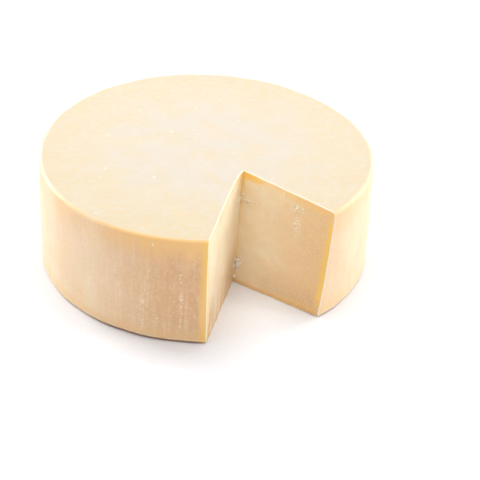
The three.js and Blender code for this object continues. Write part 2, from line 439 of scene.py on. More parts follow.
def slice_line(wheel, turn, inset, z):
    """Start and heading of the line at a share of the turn from the right face to the left. The
    lines beside the faces are parallel to them, at an inset, and the others fan out between."""
    apex, right, into_right = cut_line(wheel, RIGHT, z)
    _, left, into_left = cut_line(wheel, LEFT, z)
    start = apex + (into_left + into_right) * (inset / (1 + into_left.dot(into_right)))
    if turn <= 0:
        return start, right
    if turn >= 1:
        return start, left
    first = lerp(RIGHT_RIM_AZIMUTH_BASE, RIGHT_RIM_AZIMUTH_TOP, z / wheel.height)
    azimuth = lerp(first, LEFT_RIM_AZIMUTH + FULL_TURN, turn)
    return start, (polar(wheel.diameter / 2, azimuth) - start).normalized()


def soften(wheel, inset, depth):
    """Rounds the edge between a cut face and the skin, given the distances from the cut face
    and under the skin, of which one is nothing on the surface."""
    soft = wheel.cut_edge
    if inset >= soft or depth >= soft:
        return inset, depth
    a, b = soft - inset, soft - depth
    shrink = soft / math.hypot(a, b)
    return soft - shrink * a, soft - shrink * b


def surface_place(wheel, turn, inset, out, up):
    """A place on the smooth wheel, and how deep under the rind it lies. out goes from 0 at the
    apex line to 1 where the top edge's rounding starts and 2 at the side, and up likewise."""
    on_cut = inset == 0 and (turn <= 0 or turn >= 1)
    start_z, centre = edge_start(wheel), edge_centre(wheel)
    z = up * start_z if up <= 1 else start_z + (up - 1) * wheel.top_edge
    sideways = inset
    for _ in range(2):
        start, heading = slice_line(wheel, turn, sideways, z)
        if out <= 1:
            r = (start + heading * (out * reach(start, heading, centre))).length
        else:
            r = lerp(centre, rim_radius(wheel, z), out - 1)
        low, high = base_height(wheel, r), top_height(wheel, r)
        z = lerp(low, start_z, up) if up <= 1 else lerp(start_z, high, up - 1)
        depth = min(rim_radius(wheel, z) - r, high - z, z - low) if on_cut else 0.0
        sideways, sunk = soften(wheel, inset, max(depth, 0.0))
        z = clamp(z, low + sunk, high - sunk)
        r = min(r, rim_radius(wheel, z) - sunk)
    over, above = r - centre, z - start_z
    if over > 0 and above > 0:
        shrink = max(over, above) / math.hypot(over, above)
        r, z = centre + over * shrink, start_z + above * shrink
    start, heading = slice_line(wheel, turn, sideways, z)
    along = reach(start, heading, r) if out > 1 else out * reach(start, heading, centre)
    return Vector((*(start + heading * along), z)), depth


# The relief of the wheel


def cut_depth(wheel, face, along, z):
    """How far a cut face is worn in. The knife's marks fade at the top edge and the rim."""
    apex, outward, _ = cut_line(wheel, face, z)
    from_rim = abs(wheel.diameter / 2 - (apex + outward * along).length)
    marked = smooth_share(wheel.height - z, 0, CUT_CALM_UNDER_TOP)
    marked *= smooth_share(from_rim, 0, CUT_CALM_AT_RIM)
    calm = marked * smooth_share(along, 0, CUT_CALM_NEAR_APEX)
    depth = CUT_UNEVEN * calm * waver(CUT_PITCH, along, z, CUT_PITCH * face)
    if face == LEFT:
        share = clamp(along / BOW_LENGTH) ** BOW_SKEW
        fluted = marked * smooth_share(along, FLUTES_FROM, FLUTES_FROM + FLUTE_PITCH)
        depth += BOW * (z / wheel.height) * math.sin(math.pi * share)
        depth += FLUTE_DEPTH * fluted * math.sin(FULL_TURN * along / FLUTE_PITCH)
    return depth


def strewn(patch, count, first_turn):
    """Places and sizes of lumps in a torn patch: distance from the apex line, height, radius."""
    _, along, height, spread, _, _, size = patch
    places = []
    for i in range(count):
        far = (i + 0.5) / count
        turn = first_turn + FULL_TURN * i / GOLDEN_RATIO
        there = max(along + spread[0] * far * math.cos(turn), 0)
        up = height + spread[1] * far * math.sin(turn)
        places.append((there * MM, up * MM, size * lerp(1, 0.5, i * GOLDEN_RATIO % 1) * MM))
    return places


def torn_at(face, along, z):
    """How torn a face is, from 0 to 1 in the middle of a patch, and how deep the pits are."""
    torn, pit = 0.0, 0.0
    for patch in TORN_PATCHES:
        wide, tall = (half + TORN_MARGIN for half in patch[3])
        off = math.hypot((along / MM - patch[1]) / wide, (z / MM - patch[2]) / tall)
        if patch[0] != face or off > 1:
            continue
        torn = max(torn, 1 - off)
        for there, up, radius in strewn(patch, patch[5], math.pi):
            gap = radius**2 - (along - there) ** 2 - (z - up) ** 2
            pit = max(pit, math.sqrt(max(gap, 0)))
    return torn, pit


def carve(wheel, place):
    """Wears the cut faces into the cheese, which fades out a little way behind them."""
    for face in (LEFT, RIGHT):
        _, _, into = cut_line(wheel, face, place.z)
        along, behind = on_face(wheel, face, place)
        if along < -wheel.cut_edge or not -wheel.cut_edge < behind < CUT_FADE:
            continue
        depth = cut_depth(wheel, face, along, place.z) * (1 - smooth_share(behind, 0, CUT_FADE))
        if behind < wheel.cut_edge:
            torn, pit = torn_at(face, along, place.z)
            crumbled = abs(noise.noise(Vector((along, face, place.z)) / TORN_GRAIN))
            depth += PIT_SHARE * pit + TORN_DEPTH * torn * crumbled
        place.xy += into * depth


def roughened(wheel, x, y, z):
    """A place moved by the lobes, the uneven skin and the ragged lip. The flat base stays flat."""
    r = math.hypot(x, y)
    azimuth = math.atan2(y, x)
    skin = wheel.skin_uneven * waver(SKIN_PITCH, x, y, z)
    lobes = LOBE_HEIGHT * math.cos(LOBES * (azimuth - LOBE_AZIMUTH))
    lip = (z - BASE_LIFT) / LIP_HEIGHT
    on_lip = math.sin(math.pi * lip) if 0 < lip < 1 and r > BASE_FLAT_RADIUS else 0
    ragged = on_lip * LIP_RAGGED * waver(LIP_PITCH, wheel.diameter / 2 * azimuth, 0, 0)
    grown = 1 + 2 * (lobes + skin - wheel.inset) / wheel.diameter + ragged / max(r, MM)
    raised = (skin - wheel.inset) * smooth_share(z, wheel.height / 2, wheel.height)
    return Vector((x * grown, y * grown, z + raised))


# Places on the finished wheel, each with the heading out of it there


def face_point(wheel, face, along, z):
    apex, outward, into = cut_line(wheel, face, z)
    flat = apex + outward * along + into * cut_depth(wheel, face, along, z)
    return roughened(wheel, *flat, z), Vector((-into.x, -into.y, 0))


def side_point(wheel, azimuth, z):
    flat = polar(rim_radius(wheel, z), azimuth)
    return roughened(wheel, *flat, z), Vector((*polar(1, azimuth), 0))


def top_point(wheel, x, y):
    return roughened(wheel, x, y, top_height(wheel, math.hypot(x, y))), Vector((0, 0, 1))


def in_notch(wheel, place, margin):
    return all(on_face(wheel, face, place)[1] < margin for face in (LEFT, RIGHT))


# The wheel's mesh


def subdivide_along(bm, axis, parts):
    edges = [e for e in bm.edges if abs(e.verts[0].co[axis] - e.verts[1].co[axis]) > 0.5]
    bmesh.ops.subdivide_edges(bm, edges=edges, cuts=parts - 1, use_grid_fill=True)


def surface_lines(wheel):
    """The lines on which the surface is divided: round as (turn, inset), outward and upward."""
    fillets = [share * wheel.cut_edge for share in FILLET_LINES]
    parts = wheel.round_parts
    round_lines = [(0, inset) for inset in fillets]
    round_lines += [(i / parts, wheel.cut_edge) for i in range(1, parts)]
    round_lines += [(1, inset) for inset in reversed(fillets)]
    edge_lines = [2 - inset * MM / wheel.top_edge for inset in EDGE_INSETS]
    out_lines = [i / wheel.out_parts for i in range(wheel.out_parts)] + edge_lines
    lip = LIP_HEIGHT / (edge_start(wheel) - BASE_LIFT)
    up_lines = [share * lip for share in LIP_SHARES]
    up_lines += [lerp(lip, 1, i / wheel.up_parts) for i in range(wheel.up_parts)] + edge_lines
    return round_lines, out_lines, up_lines


def divided_block(wheel, lines):
    """A block cut on all lines, without the side that shrinks to the apex line, and its faces
    over the apex and under it, where the lines crowd together."""
    bm = bmesh.new()
    for name in RIND_STORED + PASTE_STORED:
        bm.verts.layers.float.new(name)
    bmesh.ops.create_cube(bm, size=1, matrix=Matrix.Translation((0.5, 0.5, 0.5)))
    last = [len(line) - 1 for line in lines]
    for axis in range(3):
        subdivide_along(bm, axis, last[axis])
    apex_side = [f for f in bm.faces if f.calc_center_median().y < TINY]
    bmesh.ops.delete(bm, geom=apex_side, context="FACES")
    top_fan, base_fan = [], []
    fillets = len(FILLET_LINES) - 1
    for f in bm.faces:
        middle = f.calc_center_median()
        out = middle.y * last[1]
        inner = fillets < middle.x * last[0] < last[0] - fillets
        if middle.x < TINY or middle.x > 1 - TINY:
            f.material_index = PASTE
        elif inner and middle.z > 0.5 and out < TOP_FAN_LINES:
            top_fan.append(f)
        elif inner and middle.z < TINY and out < BASE_FAN_SHARE * wheel.out_parts:
            base_fan.append(f)
    return bm, top_fan, base_fan


def bend_to_wheel(wheel, bm, lines):
    """Moves each corner of the divided block to its place on the smooth wheel."""
    depth_layer = bm.verts.layers.float["rind_depth"]
    last = [len(line) - 1 for line in lines]
    for v in bm.verts:
        i, j, k = (round(v.co[axis] * last[axis]) for axis in range(3))
        turn, inset = lines[0][i]
        v.co, v[depth_layer] = surface_place(wheel, turn, inset, lines[1][j], lines[2][k])


def divide_torn(wheel, bm):
    torn_edges = set()
    for f in bm.faces:
        if f.material_index == PASTE:
            middle = f.calc_center_median()
            face = nearer_face(wheel, middle)
            if torn_at(face, on_face(wheel, face, middle)[0], middle.z)[0] > 0:
                torn_edges.update(f.edges)
    bmesh.ops.subdivide_edges(bm, edges=list(torn_edges), cuts=TORN_CUTS, use_grid_fill=True)


def unroll(wheel, bm):
    """The UV map, in metres: cut faces by distance and height, the side by arc and height, and
    the top and the base as seen from above. The right face starts at one metre."""
    layer = bm.loops.layers.uv.new("unrolled")
    bm.normal_update()
    for f in bm.faces:
        middle = f.calc_center_median()
        face = nearer_face(wheel, middle)
        for corner in f.loops:
            place = corner.vert.co
            if f.material_index == PASTE:
                corner[layer].uv = (on_face(wheel, face, place)[0] + face, place.z)
            elif abs(f.normal.z) < UPRIGHT_UNDER:
                azimuth = math.atan2(place.y, place.x)
                if azimuth < LEFT_RIM_AZIMUTH - SEAM_MARGIN:
                    azimuth += FULL_TURN
                corner[layer].uv = (wheel.diameter / 2 * azimuth, place.z)
            else:
                corner[layer].uv = place.xy


def dried_and_crease_share(face, along, z, depth):
    """How golden the paste is: it dried under the side's rind, less under the top's and least
    at the base. It is weaker on the left face, as painted light that washes it out, and along the
    apex line the gold is painted shade of the crease."""
    swell = DRIED_SWELL * math.cos(FULL_TURN * (along - DRIED_THIN_AT) / DRIED_PITCH)
    swell += DRIED_UNEVEN * waver(CUT_PITCH, along, z, 0)
    band = 1 - smooth_share(depth + swell, DRIED_FULL, DRIED_END)
    band *= lerp(DRIED_AT_BASE, 1, smooth_share(z, *DRIED_OVER_BASE))
    under_top = smooth_share(z, *DRIED_UNDER_TOP) * smooth_share(along, *DRIED_OUTWARD)
    band *= 1 - DRIED_LOST_AT_TOP * under_top
    # along the apex line the gold is painted shade of the crease between the faces
    corner = 1 - smooth_share(along, *CREASE_SHADE)
    corner *= lerp(*CREASE_SHADE_LOW_HIGH, smooth_share(z, *CREASE_SHADE_UP))
    return max(band if face == RIGHT else DRIED_LEFT_WASHED_BY_LIGHT * band, corner)


def turned_up(wheel, place):
    """How far the skin has turned over, from 0 on the side to 1 on the top."""
    over = max(place.xy.length - edge_centre(wheel), 0)
    above = max(place.z - edge_start(wheel), 0)
    return 4 * math.atan2(above, over) / FULL_TURN


def beside_cut(wheel, place, fading):
    """A share that is 1 beside the cut's left side, fades out a little way on, and elsewhere
    shows only in places."""
    azimuth = math.atan2(place.y, place.x)
    spots = SPOTTY_SHARE * (1 + waver(SPOTTY_PITCH, wheel.diameter / 2 * azimuth, 0, 0))
    if azimuth > LEFT_RIM_AZIMUTH + wheel.cut_edge / wheel.diameter:
        return spots
    return lerp(spots, 1, smooth_share(azimuth, *fading))


def chalked(wheel, place):
    """How much chalky haze lies on the side, which it does round the runs of flecks."""
    azimuth = math.degrees(math.atan2(place.y, place.x))
    share = 0.0
    for middle, low, high, spread, _, _ in FLECK_RUNS:
        aside = math.radians(azimuth - middle) * wheel.diameter / 2 / MM
        beyond = max(low - place.z / MM, place.z / MM - high, 0)
        off = math.hypot(aside / (spread + CHALK_WIDE), beyond / CHALK_TALL)
        share = max(share, 1 - smooth_share(off, 0, 1))
    return share


def wear(wheel, bm):
    """Stores what the finishes need at each corner, and then gives the wheel its relief."""
    layers = {layer.name: layer for layer in bm.verts.layers.float.values()}
    for v in bm.verts:
        face = nearer_face(wheel, v.co)
        along, behind = on_face(wheel, face, v.co)
        stored = {
            "cut_inset": math.hypot(behind, max(-along, 0)),
            "left_side": 1 if face == LEFT else 0,
            "turned_up": turned_up(wheel, v.co),
            # painted shade of the front, and spots of the rind's own darker tone elsewhere
            "ripened": beside_cut(wheel, v.co, SHADED_FRONT),
            # painted shade under the lip along the foot
            "stained": beside_cut(wheel, v.co, SHADED_FOOT),
            "chalked": chalked(wheel, v.co),
        }
        if abs(behind) < wheel.cut_edge:
            torn, pit = torn_at(face, along, v.co.z)
            dried = dried_and_crease_share(face, along, v.co.z, v[layers["rind_depth"]])
            stored |= {"torn": torn, "pitted": pit / MM, "dried": dried}
        for name, value in stored.items():
            v[layers[name]] = value
        carve(wheel, v.co)
        v.co = roughened(wheel, *v.co)


def wheel_mesh(wheel):
    lines = surface_lines(wheel)
    bm, top_fan, base_fan = divided_block(wheel, lines)
    bend_to_wheel(wheel, bm, lines)
    for fan in (top_fan, base_fan):
        bmesh.ops.dissolve_faces(bm, faces=fan)
    bmesh.ops.remove_doubles(bm, verts=bm.verts, dist=MERGE_WITHIN)
    bmesh.ops.dissolve_degenerate(bm, dist=SLIVER, edges=bm.edges)
    divide_torn(wheel, bm)
    unroll(wheel, bm)
    wear(wheel, bm)
    bmesh.ops.recalc_face_normals(bm, faces=bm.faces)
    for f in bm.faces:
        f.smooth = True
    return bm


def add_object(name, bm, materials):
    mesh = bpy.data.meshes.new(name)
    bm.to_mesh(mesh)
    bm.free()
    for material in materials:
        mesh.materials.append(material)
    made = bpy.data.objects.new(name, mesh)
    bpy.context.collection.objects.link(made)
    return made


def finish_piece(name, bm, materials):
    piece = add_object(name, bm, materials)
    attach(piece, "root")
    return piece


# Crumbs and flecks


def add_lump(bm, draw, place, facing, sizes, faces, lean):
    """One lump: a dented ball with its half lengths across, along and out, which faces a way
    and is turned about that by its lean."""
    made = bmesh.ops.create_icosphere(bm, subdivisions=faces, radius=1)
    shift = Vector([draw.uniform(0, 50) for _ in range(3)])
    for v in made["verts"]:
        v.co *= 1 + DENT_DEPTH * noise.noise(v.co * DENTS + shift)
    turn = facing.to_track_quat("Z", "Y").to_matrix().to_4x4()
    matrix = Matrix.Translation(place) @ turn @ Matrix.Rotation(lean, 4, "Z")
    matrix = matrix @ Matrix.Diagonal((*sizes, 1))
    bmesh.ops.transform(bm, matrix=matrix, verts=made["verts"])


def add_crumb(bm, draw, wheel, face, along, z, radius):
    place, facing = face_point(wheel, face, along, z)
    sizes = [radius * draw.uniform(*CRUMB_SIDES) for _ in range(3)]
    tilt = Vector([draw.uniform(-1, 1) for _ in range(3)])
    heading = (facing + CRUMB_TILT * tilt).normalized()
    add_lump(bm, draw, place, heading, sizes, CRUMB_FACES, draw.uniform(0, FULL_TURN))


def crumbs_mesh(wheel, crumbs):
    bm = bmesh.new()
    draw = random.Random(crumbs.seed)
    for patch in TORN_PATCHES:
        face, middle, height, spread, grains, _, _ = patch
        for along, z, radius in strewn(patch, grains, 0):
            add_crumb(bm, draw, wheel, face, along, z, radius)
        for _ in range(crumbs.fine_count):
            along = middle + spread[0] * draw.gauss(0, GATHERED)
            z = height + spread[1] * draw.gauss(0, GATHERED)
            radius = crumbs.fine_size * draw.uniform(*FINE_SIZES)
            add_crumb(bm, draw, wheel, face, max(along, 0.3) * MM, z * MM, radius)
    for face, along, z, radius in CLINGING_CRUMBS:
        add_crumb(bm, draw, wheel, face, along * MM, z * MM, radius * MM)
    return bm


def add_fleck(bm, draw, crumbs, point, radius, lean):
    """A fleck of bloom: a thin flake half sunk into the rind, longer than it is wide."""
    place, facing = point
    wide, long = (radius * draw.uniform(*span) for span in (FLECK_WIDTHS, FLECK_LENGTHS))
    thick = crumbs.fleck_height
    place = place - FLECK_SUNK * thick * facing
    add_lump(bm, draw, place, facing, (wide, long, thick), FLECK_FACES, lean)


def side_runs(crumbs, draw):
    """The runs of flecks in the photo, and like ones round the rest of the side."""
    runs = list(FLECK_RUNS)
    for i in range(crumbs.side_runs):
        azimuth = lerp(*OTHER_AZIMUTHS, (i + 0.5 * draw.random()) / crumbs.side_runs)
        low = draw.uniform(*OTHER_LOW)
        high = low + draw.uniform(*OTHER_LENGTH)
        runs.append((azimuth, low, high, draw.uniform(*OTHER_SPREAD), *OTHER_FLECKS))
    return runs


def flecks_mesh(wheel, crumbs):
    bm = bmesh.new()
    draw = random.Random(crumbs.seed + 1)
    for azimuth, low, high, spread, count, radius in side_runs(crumbs, draw):
        for _ in range(count):
            aside = 2 * spread * MM / wheel.diameter * draw.gauss(0, GATHERED)
            point = side_point(wheel, math.radians(azimuth) + aside, draw.uniform(low, high) * MM)
            size = radius * MM * draw.uniform(*FLECK_SIZES)
            add_fleck(bm, draw, crumbs, point, size, draw.gauss(0.3, 0.3))
    for azimuth, z, radius in SIDE_FLECKS:
        point = side_point(wheel, math.radians(azimuth), z * MM)
        add_fleck(bm, draw, crumbs, point, radius * MM, 0.2)
    for x, y, radius in TOP_FLECKS:
        point = top_point(wheel, x * MM, y * MM)
        add_fleck(bm, draw, crumbs, point, radius * MM, draw.uniform(1, 2))
    for _ in range(crumbs.top_flecks):
        out = FLECKS_REACH * wheel.diameter * math.sqrt(draw.random())
        point = top_point(wheel, *polar(out, draw.uniform(0, FULL_TURN)))
        if not in_notch(wheel, point[0], FLECKS_FROM_NOTCH * MM):
            lean = draw.uniform(0, FULL_TURN)
            add_fleck(bm, draw, crumbs, point, MM * draw.uniform(*TOP_FLECK_RADIUS), lean)
    return bm


# Materials


def add_node(tree, kind, inputs, **settings):
    """Adds a node with its settings. An input takes a value, or a socket that is linked to it."""
    made = tree.nodes.new(kind)
    for name, value in settings.items():
        setattr(made, name, value)
    for name, value in inputs.items():
        if isinstance(value, bpy.types.NodeSocket):
            tree.links.new(value, made.inputs[name])
        else:
            made.inputs[name].default_value = value
    return made


def banded(tree, lengths, bands):
    """Shares for bands along lengths. A band names its length and gives where it starts to show
    and shows in full, and its strength there."""
    shares = {}
    for name, (length, start, full, strength) in bands.items():
        band = add_node(
            tree,
            "ShaderNodeMapRange",
            {"Value": lengths[length], "From Min": start, "From Max": full, "To Max": strength},
            interpolation_type="SMOOTHSTEP",
        )
        shares[name] = band.outputs["Result"]
    return shares


def patterned(tree, place, patterns):
    """Shares for soft-edged patches of noise. A pattern gives its grain's size across and upward
    in millimetres, the noise's values where it starts to show and shows in full, and its detail,
    strength and shift."""
    noises, bands = {}, {}
    for name, (size, start, full, detail, strength, shift) in patterns.items():
        across, upward = (1 / (length * MM) for length in size)
        scaled = add_node(
            tree,
            "ShaderNodeMapping",
            {"Vector": place, "Location": (shift,) * 3, "Scale": (across, upward, across)},
        ).outputs["Vector"]
        grain = add_node(
            tree, "ShaderNodeTexNoise", {"Vector": scaled, "Scale": 1, "Detail": detail}
        )
        noises[name] = grain.outputs["Fac"]
        bands[name] = (name, start, full, strength)
    return banded(tree, noises, bands)


def overlap(tree, shares, names):
    """How much a place is in all of several shares at once."""
    common = shares[names[0]]
    for name in names[1:]:
        common = add_node(
            tree, "ShaderNodeMath", {0: common, 1: shares[name]}, operation="MULTIPLY"
        ).outputs["Value"]
    return common


def lay_colours(tree, shader, colours, shares, base, layers):
    """Lays colours over a base in turn. A layer names its colour and the shares that all have
    to cover a place for it to show there."""
    tone = (*getattr(colours, base), 1)
    for name, *covering in layers:
        share = overlap(tree, shares, covering)
        over = (*getattr(colours, name), 1)
        inputs = {MIX_SHARE: share, MIX_FIRST: tone, MIX_SECOND: over}
        tone = add_node(tree, "ShaderNodeMix", inputs, data_type="RGBA").outputs[MIX_RESULT]
    tree.links.new(tone, shader.inputs["Base Color"])


def raise_surface(tree, shader, shares, reliefs):
    """Raises the surface. A relief gives its height in metres and the shares that it needs."""
    total = 0.0
    for height, *covering in reliefs:
        inputs = {0: overlap(tree, shares, covering), 1: height / MM, 2: total}
        total = add_node(tree, "ShaderNodeMath", inputs, operation="MULTIPLY_ADD").outputs["Value"]
    bump = add_node(tree, "ShaderNodeBump", {"Height": total, "Strength": 0.7, "Distance": MM})
    tree.links.new(bump.outputs["Normal"], shader.inputs["Normal"])


def soft_inside(shader, weight):
    """Light goes into the cheese and comes out again a little further on, reddest farthest."""
    shader.subsurface_method = "RANDOM_WALK"
    shader.inputs["Subsurface Weight"].default_value = weight
    shader.inputs["Subsurface Radius"].default_value = (1, 0.6, 0.32)
    shader.inputs["Subsurface Scale"].default_value = LIGHT_DEPTH


def new_material(name, roughness):
    """A material with about the refractive index of cheese, chalk and card."""
    material = bpy.data.materials.new(name)
    material.use_nodes = True
    tree = material.node_tree
    shader = tree.nodes["Principled BSDF"]
    shader.inputs["Roughness"].default_value = roughness
    shader.inputs["IOR"].default_value = 1.45
    return material, tree, shader


def object_place(tree):
    """A place in the object's frame, and its height over the floor."""
    place = add_node(tree, "ShaderNodeTexCoord", {}).outputs["Object"]
    height = add_node(tree, "ShaderNodeSeparateXYZ", {"Vector": place}).outputs["Z"]
    return place, height


def wheel_place(tree, layers):
    """A place on the wheel's unrolled map, and lengths and shares there, each under its name."""
    place = add_node(tree, "ShaderNodeUVMap", {}, uv_map="unrolled").outputs["UV"]
    found = {"height": object_place(tree)[1]}
    for name in layers:
        stored = add_node(tree, "ShaderNodeAttribute", {}, attribute_name=name)
        found[name] = stored.outputs["Fac"]
    return place, found


# The finishes' tables, with rows as patterned, banded, lay_colours and raise_surface take them.
# The finest grain is drawn about a millimetre wide, coarser than the real one, so that it shows.
RIND_PATTERNS = {
    "warm": ((22, 34), 0.38, 0.66, 4, 0.45, 0),
    "haze": ((15, 50), 0.36, 0.66, 5, 0.6, 7),
    "blots": ((9, 12), 0.44, 0.7, 6, 0.16, 9),
    "dark_blots": ((13, 15), 0.48, 0.75, 6, 0.1, 17),
    "streaks": ((4.5, 75), 0.47, 0.72, 4, 0.27, 0),
    "dark_streaks": ((7, 60), 0.5, 0.75, 4, 0.15, 3),
    "mottle": ((34, 30), 0.4, 0.64, 3, 0.45, 0),
    "fine_mottle": ((9, 6), 0.42, 0.7, 4, 0.5, 5),
    "scuffs": ((5.5, 4), 0.67, 0.77, 4, 0.35, 23),
    "lip_gap": ((16, 60), 0.3, 0.5, 2, 1, 13),
    "dots": ((2, 2.6), 0.45, 0.7, 2, 0.2, 71),
    "pale_dots": ((2.2, 3.4), 0.5, 0.72, 2, 0.25, 77),
    "chalk_grain": ((2.6, 10), 0.38, 0.66, 4, 0.25, 29),
    "drips": ((9, 40), 0.25, 0.75, 5, 1, 63),
    "grain": ((1.3, 1.2), 0.2, 0.8, 2, 1, 41),
    "blister": ((14, 12), 0.3, 0.7, 2, 1, 51),
}
RIND_BANDS = {
    "on_top": ("turned_up", 0.65, 1, 1),
    "on_side": ("turned_up", 0.85, 0.3, 1),
    # outer: on the top, the painted sheen fades towards the rim
    "outer": ("from_axis", 60 * MM, 172 * MM, 0.62),
    # where the side is painted lighter by bounced light from the floor
    "bounce_lit_foot": ("height", 62 * MM, 14 * MM, 0.9),
    "hazy": ("height", 106 * MM, 84 * MM, 1),
    # how the painted front shade and the darker spots grow with height
    "darker_up": ("height", -36 * MM, 36 * MM, 0.85),
    # with_band: the golden band under the top edge, partly painted glow, shown in full on the front
    # only
    "with_band": ("ripened", -0.15, 0.9, 1),
    "under_edge": ("dripping", 88 * MM, 124 * MM, 1),
    "near_base": ("height", 17 * MM, 5 * MM, 0.42),
    "lip_crest": ("height", 5 * MM, 3.6 * MM, 0.6),
    # the height of the painted shade line along the foot
    "foot": ("height", 3.5 * MM, 2.4 * MM, 0.9),
    # at_cut: painted glow of light through the cut edge, on the side beside the left cut
    "at_cut": ("cut_inset", 11 * MM, 0, 1),
    # cut_edge: a painted highlight along the cut's edges on the rind
    "cut_edge": ("cut_inset", 1.3 * MM, 0.6 * MM, 0.6),
}
RIND_LAYERS = (
    # painted bounce light from the floor on the side's foot
    ("side_low", "bounce_lit_foot"),
    ("side_warm", "warm"),
    ("side_pale", "haze", "hazy"),
    # painted shade on the front beside the cut's left side; elsewhere darker spots of the rind
    ("side_ripe", "darker_up", "ripened"),
    ("side_pale", "blots"),
    ("side_deep", "dark_blots"),
    ("side_pale", "streaks"),
    ("side_deep", "dark_streaks"),
    ("side_deep", "dots"),
    ("side_pale", "pale_dots"),
    # golden band under the top edge: the rind's own gold and partly painted glow of light through
    # the edge, in full on the front
    ("edge_band", "under_edge", "with_band"),
    ("edge_band", "near_base"),
    # the top's tone: partly the rind's own, partly painted sheen
    ("top", "on_top"),
    # the top painted warmer towards its rim, and most at the front, where its painted sheen fades
    ("top_warm", "on_top", "outer"),
    ("top_warm", "on_top", "outer", "ripened"),
    ("top_warm", "on_top", "mottle"),
    ("top_pale", "on_top", "fine_mottle"),
    ("paste_pale", "chalked", "chalk_grain"),
    ("chalk_warm", "lip_crest", "lip_gap"),
    # painted shade under the lip: a dark brown line along the foot
    ("stain", "foot", "stained"),
    ("chalk", "scuffs", "on_side"),
    # painted glow of light through the cut edge, on the side beside the left cut
    ("rind_band", "at_cut", "on_side", "left_side"),
    # painted highlight along the cut's edges
    ("chalk", "cut_edge"),
)
RIND_RELIEFS = (
    (0.02 * MM, "grain"),
    (0.15 * MM, "streaks", "on_side"),
    (0.12 * MM, "blots", "on_side"),
    (0.08 * MM, "blister"),
)


def rind_material(colours):
    """Washed rind: the dried and wiped skin of a wheel that was pressed in a smooth hoop. It is
    matt with a waxy sheen, golden on the side and paler on the top, where the pale grey tone is
    partly painted sheen. The hoop and the cloth left upright streaks on the side, and wiping left a
    whitish haze of bloom and some specks. The front is painted darker and its foot has a dark brown
    line under the lip, both painted shade; the side's foot is painted lighter, as light bounced
    from the floor; the golden bands under the top edge and beside the left cut are partly painted
    glow of light through the edges; the cut's edges carry painted highlights; and the top is warmer
    towards its rim and front, where its painted sheen fades."""
    material, tree, shader = new_material("washed_rind", 0.42)
    place, shares = wheel_place(tree, RIND_STORED)
    shares |= patterned(tree, place, RIND_PATTERNS)
    from_axis = add_node(tree, "ShaderNodeVectorMath", {0: place}, operation="LENGTH")
    shares["from_axis"] = from_axis.outputs["Value"]
    inputs = {0: shares["drips"], 1: DRIP_LENGTH, 2: shares["height"]}
    dripping = add_node(tree, "ShaderNodeMath", inputs, operation="MULTIPLY_ADD")
    shares["dripping"] = dripping.outputs["Value"]
    shares |= banded(tree, shares, RIND_BANDS)
    lay_colours(tree, shader, colours, shares, "side", RIND_LAYERS)
    inputs = {"Value": shares["warm"], "To Min": 0.38, "To Max": 0.5}
    sheen = add_node(tree, "ShaderNodeMapRange", inputs)
    tree.links.new(sheen.outputs["Result"], shader.inputs["Roughness"])
    raise_surface(tree, shader, shares, RIND_RELIEFS)
    soft_inside(shader, 0.35)
    return material


PASTE_PATTERNS = {
    "cloudy": ((24, 18), 0.35, 0.68, 3, 0.25, 0),
    "fine": ((1.8, 1.6), 0.4, 0.7, 3, 0.3, 5),
    # ridges and furrows of the left face: relief on the ridges, with painted highlights on them and
    # painted shade in the furrows
    "ridges_with_highlight": ((8, 55), 0.34, 0.7, 4, 0.6, 19),
    "shaded_furrows": ((7, 45), 0.5, 0.75, 4, 0.2, 27),
    "grainy": ((1.5, 1.4), 0.42, 0.6, 3, 1, 33),
    "rough": ((0.9, 0.9), 0.25, 0.75, 3, 1, 41),
    "pores": ((1.6, 1.3), 0.72, 0.82, 1, 1, 61),
}
KNIFE_PATTERNS = {
    "drags": ((1.8, 17), 0.58, 0.75, 3, 0.3, 9),
    "nicks": ((1.2, 4.5), 0.72, 0.8, 2, 0.5, 15),
}
PASTE_BANDS = {
    "foot": ("height", 6 * MM, 1.5 * MM, 0.6),
    # a painted highlight along the cut faces' edges, just under the rind
    "edge_highlight_under_rind": ("rind_depth", 1.1 * MM, 0.5 * MM, 0.85),
    "crumbled": ("torn", 0, 0.6, 0.75),
    # painted shade in the pits
    "pit_shade": ("pitted", 0.25, 0.9, 0.2),
    "on_left": ("across", 0.5, 0.45, 1),
    # inner: painted light that lifts the shade near the apex line and over the left face
    "inner": ("across", RIGHT + 85 * MM, RIGHT + 10 * MM, 0.4),
    # outer: painted shade towards the right face's rim
    "outer": ("across", RIGHT + 20 * MM, RIGHT + 110 * MM, 1),
    "off_corner": ("across", RIGHT, RIGHT + 50 * MM, 1),
    # low: painted shade towards the base, away from the apex corner
    "low": ("height", 45 * MM, 5 * MM, 0.42),
    # painted shade low on the left face
    "lower": ("height", 62 * MM, 8 * MM, 0.85),
}
PASTE_LAYERS = (
    # painted light near the apex line and over the left face
    ("paste_pale", "inner"),
    # painted shade towards the right face's rim
    ("paste_warm", "outer"),
    ("paste_warm", "cloudy"),
    # painted shade towards the base on both faces, and more low on the left face
    ("paste_deep", "low", "off_corner"),
    ("paste_deep", "lower", "on_left"),
    ("paste_pale", "fine"),
    ("paste_pale", "drags"),
    ("chalk", "nicks"),
    # painted highlights on the left face's ridges and painted shade in its furrows
    ("paste_pale", "ridges_with_highlight", "on_left"),
    ("paste_deep", "shaded_furrows", "on_left"),
    # the paste's own gold under the rind, weaker on the left face as painted light, and painted
    # shade in the crease along the apex line
    ("rind_band", "dried"),
    ("rind_base", "foot"),
    # painted highlight along the cut faces' edges under the rind
    ("chalk", "edge_highlight_under_rind"),
    ("chalk_warm", "crumbled", "grainy"),
    # painted shade in the pits
    ("pit", "pit_shade"),
)
PASTE_RELIEFS = (
    (0.05 * MM, "rough"),
    (0.15 * MM, "drags"),
    (0.3 * MM, "nicks"),
    (-0.3 * MM, "pores"),
    (0.35 * MM, "ridges_with_highlight", "on_left"),
)


